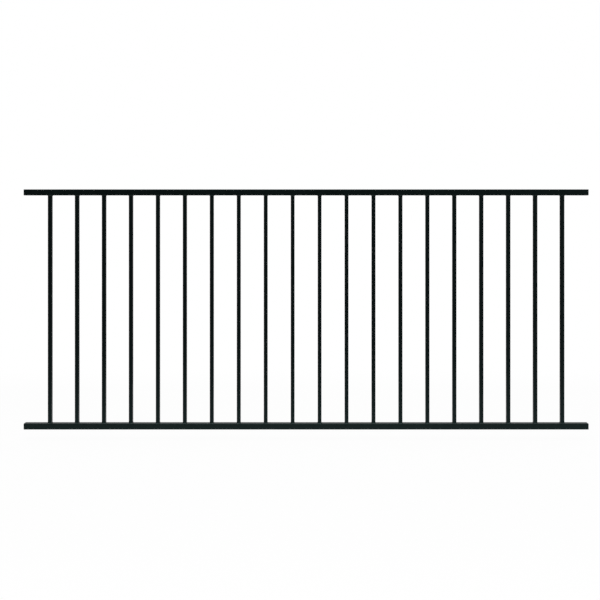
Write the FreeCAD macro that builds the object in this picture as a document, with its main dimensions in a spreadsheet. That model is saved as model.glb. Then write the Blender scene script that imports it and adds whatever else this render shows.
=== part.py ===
"""Deck railing section: two tubular rails with square tube pickets set into punched holes.

The section stands in the XZ plane: X runs along the rails, Y through their depth, Z is up.
The origin is the centre of the bottom rail's left end face, where the section meets its post.
"""

import FreeCAD
import Part
import Sketcher
import math
import os

# Driving sizes in millimetres, and plain counts.
DIMENSIONS = {
    # Rail end to rail end.
    "panel_length": 2387.6,
    # Underside of the bottom rail to the top of the top rail.
    "panel_height": 1016,
    "rail_height": 25.4,
    "rail_wall": 1.9,
    # Inside radius of the rail tube's corners.
    "rail_bend_radius": 1.1,
    "picket_count": 20,
    # Across the flats of the square picket tube.
    "picket_width": 15.875,
    "picket_wall": 1.2,
    # Outside radius of the picket tube's corners.
    "picket_corner": 2,
    # Gap all round between a picket and its punched hole.
    "picket_fit": 0.3,
    # Space inside a rail between a picket and the rail's side wall.
    "side_room": 2.8625,
    # Clear space from a rail's end to the nearest picket.
    "end_space": 100,
    "weep_diameter": 6.5,
    # Number of picket spaces from one weep hole to the next.
    "weep_every": 4,
}

# Sizes that follow from the driving ones, as expressions over the sheet.
RAIL_DEPTH = "(Dimensions.picket_width + 2 * (Dimensions.side_room + Dimensions.rail_wall))"
RAIL_CORNER = "(Dimensions.rail_bend_radius + Dimensions.rail_wall)"
RAIL_BORE_DEPTH = f"({RAIL_DEPTH} - 2 * Dimensions.rail_wall)"
RAIL_BORE_HEIGHT = "(Dimensions.rail_height - 2 * Dimensions.rail_wall)"
RAIL_SPACING = "(Dimensions.panel_height - Dimensions.rail_height)"
PICKET_LENGTH = "(Dimensions.panel_height - 2 * Dimensions.rail_wall)"
PICKET_BORE = "(Dimensions.picket_width - 2 * Dimensions.picket_wall)"
PICKET_SEAT = "(Dimensions.rail_wall - Dimensions.rail_height / 2)"
FIRST_PICKET = "(Dimensions.end_space + Dimensions.picket_width / 2)"
PICKET_RUN = "(Dimensions.panel_length - 2 * Dimensions.end_space - Dimensions.picket_width)"
PICKET_PITCH = f"({PICKET_RUN} / (Dimensions.picket_count - 1))"
HOLE_WIDTH = "(Dimensions.picket_width + 2 * Dimensions.picket_fit)"
HOLE_CORNER = "(Dimensions.picket_corner + Dimensions.picket_fit)"
WEEP_COUNT = "floor((Dimensions.picket_count - 1) / Dimensions.weep_every)"
WEEP_PITCH = f"({PICKET_PITCH} * Dimensions.weep_every)"
FIRST_WEEP = f"({FIRST_PICKET} + {PICKET_PITCH} * (Dimensions.weep_every - 0.5))"

doc = FreeCAD.newDocument("DeckRailingSection")
sheet = doc.addObject("Spreadsheet::Sheet", "Dimensions")
for row, (alias, value) in enumerate(DIMENSIONS.items(), start=1):
    sheet.set(f"A{row}", alias)
    sheet.set(f"B{row}", str(value))
    sheet.setAlias(f"B{row}", alias)
doc.recompute()


def value_of(expression):
    """The present value of an expression over the sheet."""
    return float(sheet.evalExpression(expression))


def origin_feature(body, role):
    """One of the body's own origin planes or axes."""
    return next(f for f in body.Origin.OriginFeatures if f.Role == role)


def new_sketch(body, name, plane):
    """An empty sketch on one of the body's origin planes."""
    sketch = body.newObject("Sketcher::SketchObject", name)
    sketch.AttachmentSupport = [(origin_feature(body, plane), "")]
    sketch.MapMode = "FlatFace"
    return sketch


def add_rounded_rectangle(sketch, name, width, height, radius):
    """Draws a rectangle with round corners, centred on the sketch and sized by three expressions."""
    x = value_of(width) / 2
    y = value_of(height) / 2
    r = value_of(radius)
    vector = FreeCAD.Vector
    side_ends = [
        (vector(r - x, -y), vector(x - r, -y)),
        (vector(x, r - y), vector(x, y - r)),
        (vector(x - r, y), vector(r - x, y)),
        (vector(-x, y - r), vector(-x, r - y)),
    ]
    arc_centres = [vector(x - r, r - y), vector(x - r, y - r), vector(r - x, y - r), vector(r - x, r - y)]
    quarter = math.pi / 2
    sides = []
    arcs = []
    for turn, (ends, centre) in enumerate(zip(side_ends, arc_centres), start=-1):
        circle = Part.Circle(centre, vector(0, 0, 1), r)
        sides.append(sketch.addGeometry(Part.LineSegment(*ends)))
        arcs.append(sketch.addGeometry(Part.ArcOfCircle(circle, turn * quarter, (turn + 1) * quarter)))
    for side, arc, following in zip(sides, arcs, sides[1:] + sides[:1]):
        sketch.addConstraint(Sketcher.Constraint("Tangent", side, 2, arc, 1))
        sketch.addConstraint(Sketcher.Constraint("Tangent", arc, 2, following, 1))
    for side, direction in zip(sides, ["Horizontal", "Vertical"] * 2):
        sketch.addConstraint(Sketcher.Constraint(direction, side))
    for arc in arcs[1:]:
        sketch.addConstraint(Sketcher.Constraint("Equal", arcs[0], arc))
    sketch.addConstraint(Sketcher.Constraint("Symmetric", arcs[0], 3, arcs[2], 3, -1, 1))
    measures = [
        ("width", width, Sketcher.Constraint("DistanceX", sides[3], 1, sides[1], 1, 2 * x)),
        ("height", height, Sketcher.Constraint("DistanceY", sides[0], 1, sides[2], 1, 2 * y)),
        ("radius", radius, Sketcher.Constraint("Radius", arcs[0], r)),
    ]
    for label, expression, constraint in measures:
        index = sketch.addConstraint(constraint)
        sketch.renameConstraint(index, f"{name}_{label}")
        sketch.setExpression(f"Constraints.{name}_{label}", expression)


def new_body(label):
    """An empty body under the name of its sub-part."""
    body = doc.addObject("PartDesign::Body", label)
    body.Label = label
    return body


def extrude(body, section, length):
    """Turns a section sketch into the body's first solid."""
    pad = body.newObject("PartDesign::Pad", f"{section.Name}_pad")
    pad.Profile = section
    pad.setExpression("Length", length)
    doc.recompute()


def punch_row(body, sketch, first, pitch, count, upward):
    """Cuts the sketch through one wall of a rail and repeats the hole along it."""
    before = body.Shape.Volume
    sketch.setExpression("AttachmentOffset.Base.x", first)
    pocket = body.newObject("PartDesign::Pocket", f"{sketch.Name}_cut")
    pocket.Profile = sketch
    pocket.Type = "ThroughAll"
    pocket.Reversed = upward
    doc.recompute()
    one_hole = before - pocket.Shape.Volume
    row = body.newObject("PartDesign::LinearPattern", f"{sketch.Name}_row")
    row.Originals = [pocket]
    row.Direction = (origin_feature(body, "X_Axis"), [""])
    row.setExpression("Length", f"{pitch} * ({count} - 1)")
    row.setExpression("Occurrences", count)
    body.Tip = row
    doc.recompute()
    removed = before - row.Shape.Volume
    if one_hole <= 0 or abs(removed - one_hole * value_of(count)) > 1e-6 * before:
        raise RuntimeError(f"{row.Label} did not cut every hole")


def new_rail(label, holes_upward):
    """A rail tube with the row of picket holes in the wall that faces the other rail."""
    rail = new_body(label)
    section = new_sketch(rail, f"{label}_section", "YZ_Plane")
    add_rounded_rectangle(section, "outer", RAIL_DEPTH, "Dimensions.rail_height", RAIL_CORNER)
    add_rounded_rectangle(section, "bore", RAIL_BORE_DEPTH, RAIL_BORE_HEIGHT, "Dimensions.rail_bend_radius")
    extrude(rail, section, "Dimensions.panel_length")
    hole = new_sketch(rail, f"{label}_picket_hole", "XY_Plane")
    add_rounded_rectangle(hole, "hole", HOLE_WIDTH, HOLE_WIDTH, HOLE_CORNER)
    punch_row(rail, hole, FIRST_PICKET, PICKET_PITCH, "Dimensions.picket_count", holes_upward)
    return rail


def add_weep_holes(rail):
    """Drain holes in the underside of a rail, midway between pickets."""
    hole = new_sketch(rail, f"{rail.Label}_weep_hole", "XY_Plane")
    hole.addGeometry(Part.Circle(FreeCAD.Vector(), FreeCAD.Vector(0, 0, 1), DIMENSIONS["weep_diameter"] / 2))
    hole.addConstraint(Sketcher.Constraint("Coincident", 0, 3, -1, 1))
    index = hole.addConstraint(Sketcher.Constraint("Diameter", 0, DIMENSIONS["weep_diameter"]))
    hole.renameConstraint(index, "bore")
    hole.setExpression("Constraints.bore", "Dimensions.weep_diameter")
    punch_row(rail, hole, FIRST_WEEP, WEEP_PITCH, WEEP_COUNT, False)


def new_picket(number):
    """A picket standing on the bottom rail's lower wall and reaching the top rail's upper wall."""
    label = f"picket_{number + 1:02d}"
    picket = new_body(label)
    section = new_sketch(picket, f"{label}_section", "XY_Plane")
    width = "Dimensions.picket_width"
    add_rounded_rectangle(section, "outer", width, width, "Dimensions.picket_corner")
    extrude(picket, section, PICKET_LENGTH)
    bore = picket.newObject("PartDesign::SubtractiveBox", f"{label}_bore")
    bore.setExpression("Length", PICKET_BORE)
    bore.setExpression("Width", PICKET_BORE)
    bore.setExpression("Height", PICKET_LENGTH)
    bore.setExpression("Placement.Base.x", f"-{PICKET_BORE} / 2")
    bore.setExpression("Placement.Base.y", f"-{PICKET_BORE} / 2")
    picket.setExpression("Placement.Base.x", f"{FIRST_PICKET} + {number} * {PICKET_PITCH}")
    picket.setExpression("Placement.Base.z", PICKET_SEAT)
    return picket


bottom_rail = new_rail("bottom_rail", holes_upward=True)
add_weep_holes(bottom_rail)
top_rail = new_rail("top_rail", holes_upward=False)
top_rail.setExpression("Placement.Base.z", RAIL_SPACING)
pickets = [new_picket(number) for number in range(DIMENSIONS["picket_count"])]
doc.recompute()

for item in doc.Objects:
    if "Invalid" in item.State or "Error" in item.State:
        raise RuntimeError(f"{item.Label} did not compute")

os.makedirs("parts", exist_ok=True)
for part in [bottom_rail, top_rail] + pickets:
    if part.Shape.isNull() or not part.Shape.isValid() or len(part.Shape.Solids) != 1:
        raise RuntimeError(f"{part.Label} is not one valid solid")
    part.Shape.exportStep(f"parts/{part.Label}.step")
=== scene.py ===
"""Deck railing section: finish, weld beads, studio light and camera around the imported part.

Everything is in metres, in the part's own frame: X along the rails, Y away from the camera, Z up.
"""

import math
import random

import bmesh
import bpy
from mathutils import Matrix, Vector


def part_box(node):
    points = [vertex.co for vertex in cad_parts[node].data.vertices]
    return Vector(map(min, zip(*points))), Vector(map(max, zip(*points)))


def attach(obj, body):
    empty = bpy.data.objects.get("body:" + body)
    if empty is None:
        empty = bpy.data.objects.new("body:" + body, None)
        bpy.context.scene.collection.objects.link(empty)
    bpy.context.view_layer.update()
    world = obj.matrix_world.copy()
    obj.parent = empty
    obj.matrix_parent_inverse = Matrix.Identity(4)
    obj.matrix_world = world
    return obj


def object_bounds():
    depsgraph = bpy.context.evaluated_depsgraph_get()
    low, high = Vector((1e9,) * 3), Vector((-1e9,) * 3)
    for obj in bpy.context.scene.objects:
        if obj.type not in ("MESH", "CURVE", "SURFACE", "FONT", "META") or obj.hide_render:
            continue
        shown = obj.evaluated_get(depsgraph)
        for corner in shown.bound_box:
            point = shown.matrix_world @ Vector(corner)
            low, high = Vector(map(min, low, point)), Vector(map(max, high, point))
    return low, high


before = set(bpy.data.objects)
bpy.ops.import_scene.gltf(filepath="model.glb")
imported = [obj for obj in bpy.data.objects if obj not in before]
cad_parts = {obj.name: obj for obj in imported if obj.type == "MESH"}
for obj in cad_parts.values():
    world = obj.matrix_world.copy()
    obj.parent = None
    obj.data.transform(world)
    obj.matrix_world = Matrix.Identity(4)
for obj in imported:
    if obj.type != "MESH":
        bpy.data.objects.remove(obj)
cad_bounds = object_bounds()

PICKETS = sorted(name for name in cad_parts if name.startswith("picket_"))
WHITE = (1.0, 1.0, 1.0, 1.0)
MILLIMETRES_PER_METRE = 1000

# Camera: level, opposite the middle of the section, framed by shifting the image.
# The focal length, the section's middle and the horizon are in pixels of a square image.
IMAGE_SIZE = 600
FOCAL_PIXELS = 693.4
CENTRE_COLUMN = 306.12
HORIZON_ROW = 217.0
SENSOR_WIDTH = 0.036
CAMERA_DISTANCE = 2.930
CAMERA_HEIGHT = 0.899

# Colours of the powder coat: the two shades it wavers between, and its thin look on rubbed edges.
DARK = (0.0017, 0.0033, 0.0031)
LIGHT = (0.0030, 0.0051, 0.0049)
RUBBED = (0.0550, 0.0600, 0.0595)

# Gloss of the coat, which flows out a little smoother over the weld beads.
COAT_IOR = 1.5
COAT_SPECULAR = 0.22
COAT_TINT = (0.60, 1.0, 0.985, 1.0)
TUBE_ROUGHNESS = (0.30, 0.40)
WELD_ROUGHNESS = (0.26, 0.36)

# Patterns in the coat: features per metre, octaves, and the weight of each octave against the last.
MOTTLE = (38.0, 4.0, 0.6)
SHEEN = (140.0, 3.0, 0.5)
RUBBING = (260.0, 4.0, 0.6)
ORANGE_PEEL = (520.0, 2.0, 0.5)
GRAIN = (2400.0, 1.0, 0.5)
# The values between which most of a pattern lies.
PATTERN_RANGE = (0.3, 0.7)

# Relief of the coat: strength, and height in metres.
ORANGE_PEEL_RELIEF = (0.9, 0.00026)
GRAIN_RELIEF = (0.6, 0.00007)

# Rubbed edges: reach from the edge in metres, and the openness at which rubbing starts and is full.
EDGE_REACH = 0.0009
EDGE_SAMPLES = 6
EDGE_OPENNESS = (0.92, 0.55)
# How strongly the rubbing shows at the low and high values of its pattern.
RUBBING_RANGE = (0.35, 0.65)
RUBBING_SHARE = (0.2, 1.0)

# Weld beads round the pickets, in metres; the power hollows the bead's face.
WELD_LEG = 0.0021
WELD_ROOT = 0.0004
WELD_HOLLOW = 1.5
WELD_STEPS = 256
WELD_ARC_STEPS = 7
BOTTOM_WELD_SEED = 11
TOP_WELD_SEED = 23
PICKET_CORNER = 0.002

# Ripples on a bead: spacing in metres, depth as a share of the leg, and bow as a share of the spacing.
RIPPLE_SPACING = 0.0018
RIPPLE_DEPTH = 0.11
RIPPLE_BOW = 0.45
# The power makes a ripple steeper on one side, and the mean is taken off its height.
RIPPLE_SKEW = 0.7
RIPPLE_MEAN = 0.6
# How far the ripples drift out of step, in ripples, and in how many waves round the picket.
RIPPLE_DRIFTS = ((0.30, 3), (0.18, 8))
# How much the leg swells and shrinks, as a share of itself, and in how many waves.
SWELL_RANGE = (0.04, 0.10)
SWELL_WAVES = 2

# Oval studio floor under the section, in metres.
FLOOR_DROP = 0.0508
FLOOR_RADII = (6.0, 1.4)
FLOOR_STEPS = 128
FLOOR_COLOUR = (0.86, 0.86, 0.86, 1.0)
# The share of plain white over the shaded floor, and the part of the radius where the rim fades to white.
FLOOR_WHITE = 0.95
FLOOR_FADE = 0.35

# Level of the room as light, and in reflections along the horizon behind the section.
ROOM_LEVEL = 0.64
FAR_HORIZON = 0.12
# The same level in front of the section, opposite its middle and to the right of that, and the sideways
# parts of a unit direction between which it rises.
NEAR_HORIZON = (0.0, 0.3)
RIGHT_HAND = (0.1, 0.5)
# The heights on a unit sphere between which reflections brighten to white, in front and behind.
NEAR_BAND = (0.35, 0.75)
FAR_BAND = (0.12, 0.30)

# Lamp above and in front of the section, in metres and watts.
LAMP_PLACE = (1.2, -1.7, 3.6)
LAMP_TARGET = (1.2, 0.0, 0.4)
LAMP_SIZE = (3.0, 1.6)
LAMP_POWER = 64.0


def empty_tree(owner):
    """The cleared node tree of a material or a world."""
    owner.use_nodes = True
    owner.node_tree.nodes.clear()
    return owner.node_tree


def add_node(tree, kind, **inputs):
    """Adds a shader node and sets its unlinked inputs, named with underscores for spaces."""
    node = tree.nodes.new(kind)
    for name, value in inputs.items():
        node.inputs[name.replace("_", " ")].default_value = value
    return node


def link(tree, source, target):
    """Joins an output socket to an input socket."""
    tree.links.new(source, target)


def noise(tree, position, scale, octaves, weight):
    """A noise texture in object space."""
    node = add_node(tree, "ShaderNodeTexNoise", Scale=scale, Detail=octaves, Roughness=weight)
    link(tree, position, node.inputs["Vector"])
    return node.outputs["Fac"]


def spread(tree, value, source, target):
    """Stretches a value from one range to another; an end may be a number or another node's output."""
    node = tree.nodes.new("ShaderNodeMapRange")
    link(tree, value, node.inputs["Value"])
    names = ("From Min", "From Max", "To Min", "To Max")
    for name, end in zip(names, (*source, *target)):
        if isinstance(end, bpy.types.NodeSocket):
            link(tree, end, node.inputs[name])
        else:
            node.inputs[name].default_value = end
    return node.outputs["Result"]


def combine(tree, operation, first, second):
    """Joins two values by a calculation."""
    node = tree.nodes.new("ShaderNodeMath")
    node.operation = operation
    link(tree, first, node.inputs[0])
    link(tree, second, node.inputs[1])
    return node.outputs[0]


def mix_colour(tree, factor, first, second):
    """Blends from one colour to another; each is a colour or the output of another blend."""
    node = tree.nodes.new("ShaderNodeMix")
    node.data_type = "RGBA"
    link(tree, factor, node.inputs["Factor"])
    for name, colour in (("A", first), ("B", second)):
        if isinstance(colour, tuple):
            node.inputs[name].default_value = (*colour, 1.0)
        else:
            link(tree, colour, node.inputs[name])
    return node.outputs["Result"]


def mix_shaders(tree, factor, first, second):
    """Blends from one shader to another."""
    node = tree.nodes.new("ShaderNodeMixShader")
    link(tree, factor, node.inputs[0])
    link(tree, first, node.inputs[1])
    link(tree, second, node.inputs[2])
    return node.outputs[0]


def relief(tree, pattern, strength, height):
    """A surface raised by a pattern."""
    node = add_node(tree, "ShaderNodeBump", Strength=strength, Distance=height)
    link(tree, pattern, node.inputs["Height"])
    return node


def rubbed_edges(tree, position):
    """One along sharp outer edges, where the coat is thin, broken up by noise."""
    inside = add_node(tree, "ShaderNodeAmbientOcclusion", Distance=EDGE_REACH)
    inside.inside = True
    inside.samples = EDGE_SAMPLES
    edges = spread(tree, inside.outputs["AO"], EDGE_OPENNESS, (0.0, 1.0))
    patches = spread(tree, noise(tree, position, *RUBBING), RUBBING_RANGE, RUBBING_SHARE)
    return combine(tree, "MULTIPLY", edges, patches)


def powder_coat(name, roughness):
    """Black powder coat: faint mottling, uneven sheen, rubbed edges and a fine orange-peel surface."""
    material = bpy.data.materials.new(name)
    tree = empty_tree(material)
    output = tree.nodes.new("ShaderNodeOutputMaterial")
    shader = add_node(tree, "ShaderNodeBsdfPrincipled", Metallic=0.0, IOR=COAT_IOR)
    shader.inputs["Specular IOR Level"].default_value = COAT_SPECULAR
    shader.inputs["Specular Tint"].default_value = COAT_TINT
    link(tree, shader.outputs["BSDF"], output.inputs["Surface"])
    position = tree.nodes.new("ShaderNodeTexCoord").outputs["Object"]

    mottle = spread(tree, noise(tree, position, *MOTTLE), PATTERN_RANGE, (0.0, 1.0))
    flat_colour = mix_colour(tree, mottle, DARK, LIGHT)
    colour = mix_colour(tree, rubbed_edges(tree, position), flat_colour, RUBBED)
    link(tree, colour, shader.inputs["Base Color"])

    sheen = spread(tree, noise(tree, position, *SHEEN), PATTERN_RANGE, roughness)
    link(tree, sheen, shader.inputs["Roughness"])

    peel = relief(tree, noise(tree, position, *ORANGE_PEEL), *ORANGE_PEEL_RELIEF)
    grain = relief(tree, noise(tree, position, *GRAIN), *GRAIN_RELIEF)
    link(tree, peel.outputs["Normal"], grain.inputs["Normal"])
    link(tree, grain.outputs["Normal"], shader.inputs["Normal"])
    return material


def picket_outline(half_width):
    """Points round a picket's section with their outward directions and distances along the outline."""
    flat = half_width - PICKET_CORNER
    side = 2 * flat
    quarter = PICKET_CORNER * math.pi / 2
    total = 4 * (side + quarter)
    points = []
    for step in range(WELD_STEPS):
        along = total * step / WELD_STEPS
        turn, rest = divmod(along, side + quarter)
        if rest < side:
            local = Vector((half_width, rest - flat))
            out = Vector((1.0, 0.0))
        else:
            angle = (rest - side) / PICKET_CORNER
            out = Vector((math.cos(angle), math.sin(angle)))
            local = Vector((flat, flat)) + PICKET_CORNER * out
        rotation = turn * math.pi / 2
        cosine = round(math.cos(rotation))
        sine = round(math.sin(rotation))
        rotated = [Vector((cosine * v.x - sine * v.y, sine * v.x + cosine * v.y)) for v in (local, out)]
        points.append((*rotated, along))
    return points, total


def bead_section(leg, place):
    """Distances from the picket and rises from the rail round a bead; place counts ripples along it."""
    section = [(-WELD_ROOT, -WELD_ROOT), (-WELD_ROOT, leg)]
    for step in range(WELD_ARC_STEPS):
        angle = math.pi / 2 * step / (WELD_ARC_STEPS - 1)
        within = (place - RIPPLE_BOW * math.sin(2 * angle)) % 1.0
        reach = leg * (1 + RIPPLE_DEPTH * (math.sin(math.pi * within ** RIPPLE_SKEW) - RIPPLE_MEAN))
        distance = reach * math.sin(angle) ** WELD_HOLLOW
        rise = reach * max(math.cos(angle), 0.0) ** WELD_HOLLOW
        section.append((distance, rise))
    section.append((leg, -WELD_ROOT))
    return section


def add_weld(mesh, centre, height, up, half_width, draw):
    """Adds one closed bead round a picket; up is 1 on the bottom rail and -1 under the top rail."""
    outline, total = picket_outline(half_width)
    ripples = round(total / RIPPLE_SPACING)
    drift_phases = [draw.uniform(0, 2 * math.pi) for _ in RIPPLE_DRIFTS]
    swell_phase = draw.uniform(0, 2 * math.pi)
    swell = draw.uniform(*SWELL_RANGE)
    rings = []
    for point, out, along in outline:
        turn = 2 * math.pi * along / total
        drift = 0.0
        for (size, waves), phase in zip(RIPPLE_DRIFTS, drift_phases):
            drift += size * math.sin(waves * turn + phase)
        leg = WELD_LEG * (1 + swell * math.sin(SWELL_WAVES * turn + swell_phase))
        ring = []
        for distance, rise in bead_section(leg, ripples * along / total + drift):
            spot = centre + point + distance * out
            ring.append(mesh.verts.new((spot.x, spot.y, height + up * rise)))
        rings.append(ring)
    for ring, following in zip(rings, rings[1:] + rings[:1]):
        for index in range(len(ring)):
            after = (index + 1) % len(ring)
            face = mesh.faces.new((ring[index], ring[after], following[after], following[index]))
            face.smooth = True


def weld_row(name, height, up, seed, coat):
    """The row of weld beads along one rail, as one piece."""
    draw = random.Random(seed)
    mesh = bmesh.new()
    for picket in PICKETS:
        low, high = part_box(picket)
        centre = ((low + high) / 2).xy
        add_weld(mesh, centre, height, up, (high.x - low.x) / 2, draw)
    bmesh.ops.recalc_face_normals(mesh, faces=mesh.faces)
    data = bpy.data.meshes.new(name)
    mesh.to_mesh(data)
    mesh.free()
    data.materials.append(coat)
    piece = bpy.data.objects.new(name, data)
    bpy.context.scene.collection.objects.link(piece)
    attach(piece, "root")


def build_camera():
    """A level camera opposite the middle of the section."""
    data = bpy.data.cameras.new("camera")
    data.sensor_width = SENSOR_WIDTH * MILLIMETRES_PER_METRE
    data.lens = FOCAL_PIXELS / IMAGE_SIZE * SENSOR_WIDTH * MILLIMETRES_PER_METRE
    data.shift_x = (IMAGE_SIZE / 2 - CENTRE_COLUMN) / IMAGE_SIZE
    data.shift_y = (HORIZON_ROW - IMAGE_SIZE / 2) / IMAGE_SIZE
    camera = bpy.data.objects.new("camera", data)
    low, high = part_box("bottom_rail")
    camera.location = ((low.x + high.x) / 2, low.y - CAMERA_DISTANCE, low.z + CAMERA_HEIGHT)
    camera.rotation_euler = (math.pi / 2, 0.0, 0.0)
    bpy.context.scene.collection.objects.link(camera)
    bpy.context.scene.camera = camera


def seen_directly(tree):
    """One for rays that show the background itself: camera, mirror and see-through rays."""
    path = tree.nodes.new("ShaderNodeLightPath")
    total = path.outputs["Is Camera Ray"]
    for ray in ("Is Glossy Ray", "Is Transmission Ray"):
        total = combine(tree, "MAXIMUM", total, path.outputs[ray])
    return total


def build_world():
    """White where it is seen, an even soft level as light, and dim along the horizon in reflections."""
    world = bpy.data.worlds.new("studio")
    tree = empty_tree(world)
    output = tree.nodes.new("ShaderNodeOutputWorld")
    light = add_node(tree, "ShaderNodeBackground", Color=WHITE, Strength=ROOM_LEVEL)
    shown = add_node(tree, "ShaderNodeBackground", Color=WHITE)
    axes = tree.nodes.new("ShaderNodeSeparateXYZ")
    link(tree, tree.nodes.new("ShaderNodeTexCoord").outputs["Generated"], axes.inputs[0])
    near = spread(tree, axes.outputs["X"], RIGHT_HAND, NEAR_HORIZON)
    horizon = spread(tree, axes.outputs["Y"], (-1.0, 1.0), (near, FAR_HORIZON))
    band = [spread(tree, axes.outputs["Y"], (-1.0, 1.0), ends) for ends in zip(NEAR_BAND, FAR_BAND)]
    reflected = spread(tree, axes.outputs["Z"], band, (horizon, 1.0))
    camera_ray = tree.nodes.new("ShaderNodeLightPath").outputs["Is Camera Ray"]
    link(tree, combine(tree, "MAXIMUM", reflected, camera_ray), shown.inputs["Strength"])
    surface = mix_shaders(tree, seen_directly(tree), light.outputs[0], shown.outputs[0])
    link(tree, surface, output.inputs["Surface"])
    bpy.context.scene.world = world


def floor_material():
    """White that keeps a faint shadow, fades to the rim in reflections and is clear from below."""
    material = bpy.data.materials.new("floor_white")
    tree = empty_tree(material)
    output = tree.nodes.new("ShaderNodeOutputMaterial")
    matt = add_node(tree, "ShaderNodeBsdfDiffuse", Color=FLOOR_COLOUR)
    glow = add_node(tree, "ShaderNodeEmission", Color=WHITE, Strength=1.0)
    clear = tree.nodes.new("ShaderNodeBsdfTransparent")
    oval = add_node(tree, "ShaderNodeMapping", Scale=(1 / FLOOR_RADII[0], 1 / FLOOR_RADII[1], 1.0))
    link(tree, tree.nodes.new("ShaderNodeTexCoord").outputs["Object"], oval.inputs["Vector"])
    rim = tree.nodes.new("ShaderNodeTexGradient")
    rim.gradient_type = "SPHERICAL"
    link(tree, oval.outputs["Vector"], rim.inputs["Vector"])
    white = spread(tree, rim.outputs["Fac"], (0.0, FLOOR_FADE), (1.0, FLOOR_WHITE))
    share = combine(tree, "MULTIPLY", white, seen_directly(tree))
    upper_side = mix_shaders(tree, share, matt.outputs[0], glow.outputs[0])
    from_below = tree.nodes.new("ShaderNodeNewGeometry").outputs["Backfacing"]
    mirrored = tree.nodes.new("ShaderNodeLightPath").outputs["Is Glossy Ray"]
    fading = spread(tree, rim.outputs["Fac"], (0.0, 1.0), (1.0, 0.0))
    hidden = combine(tree, "MAXIMUM", from_below, combine(tree, "MULTIPLY", mirrored, fading))
    surface = mix_shaders(tree, hidden, upper_side, clear.outputs[0])
    link(tree, surface, output.inputs["Surface"])
    return material


def build_floor(height):
    """An oval white floor under the middle of the section."""
    data = bpy.data.meshes.new("floor")
    angles = [2 * math.pi * step / FLOOR_STEPS for step in range(FLOOR_STEPS)]
    rim = [(FLOOR_RADII[0] * math.cos(a), FLOOR_RADII[1] * math.sin(a), 0.0) for a in angles]
    data.from_pydata(rim, [], [range(FLOOR_STEPS)])
    data.materials.append(floor_material())
    floor = bpy.data.objects.new("floor", data)
    floor.location = ((cad_bounds[0][0] + cad_bounds[1][0]) / 2, 0.0, height)
    bpy.context.scene.collection.objects.link(floor)


def add_lamp():
    """A soft rectangular lamp aimed at the section, itself out of sight."""
    lamp = bpy.data.lights.new("key", "AREA")
    lamp.shape = "RECTANGLE"
    lamp.size, lamp.size_y = LAMP_SIZE
    lamp.energy = LAMP_POWER
    holder = bpy.data.objects.new("key", lamp)
    holder.location = LAMP_PLACE
    holder.rotation_euler = (Vector(LAMP_TARGET) - Vector(LAMP_PLACE)).to_track_quat("-Z", "Y").to_euler()
    holder.visible_camera = False
    bpy.context.scene.collection.objects.link(holder)


tube_coat = powder_coat("powder_coat", TUBE_ROUGHNESS)
weld_coat = powder_coat("weld_coat", WELD_ROUGHNESS)
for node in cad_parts.values():
    node.data.materials.clear()
    node.data.materials.append(tube_coat)
weld_row("bottom_rail_welds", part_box("bottom_rail")[1].z, 1, BOTTOM_WELD_SEED, weld_coat)
weld_row("top_rail_welds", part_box("top_rail")[0].z, -1, TOP_WELD_SEED, weld_coat)

build_camera()
build_world()
build_floor(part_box("bottom_rail")[0].z - FLOOR_DROP)
add_lamp()

bpy.context.scene.view_settings.view_transform = "Standard"
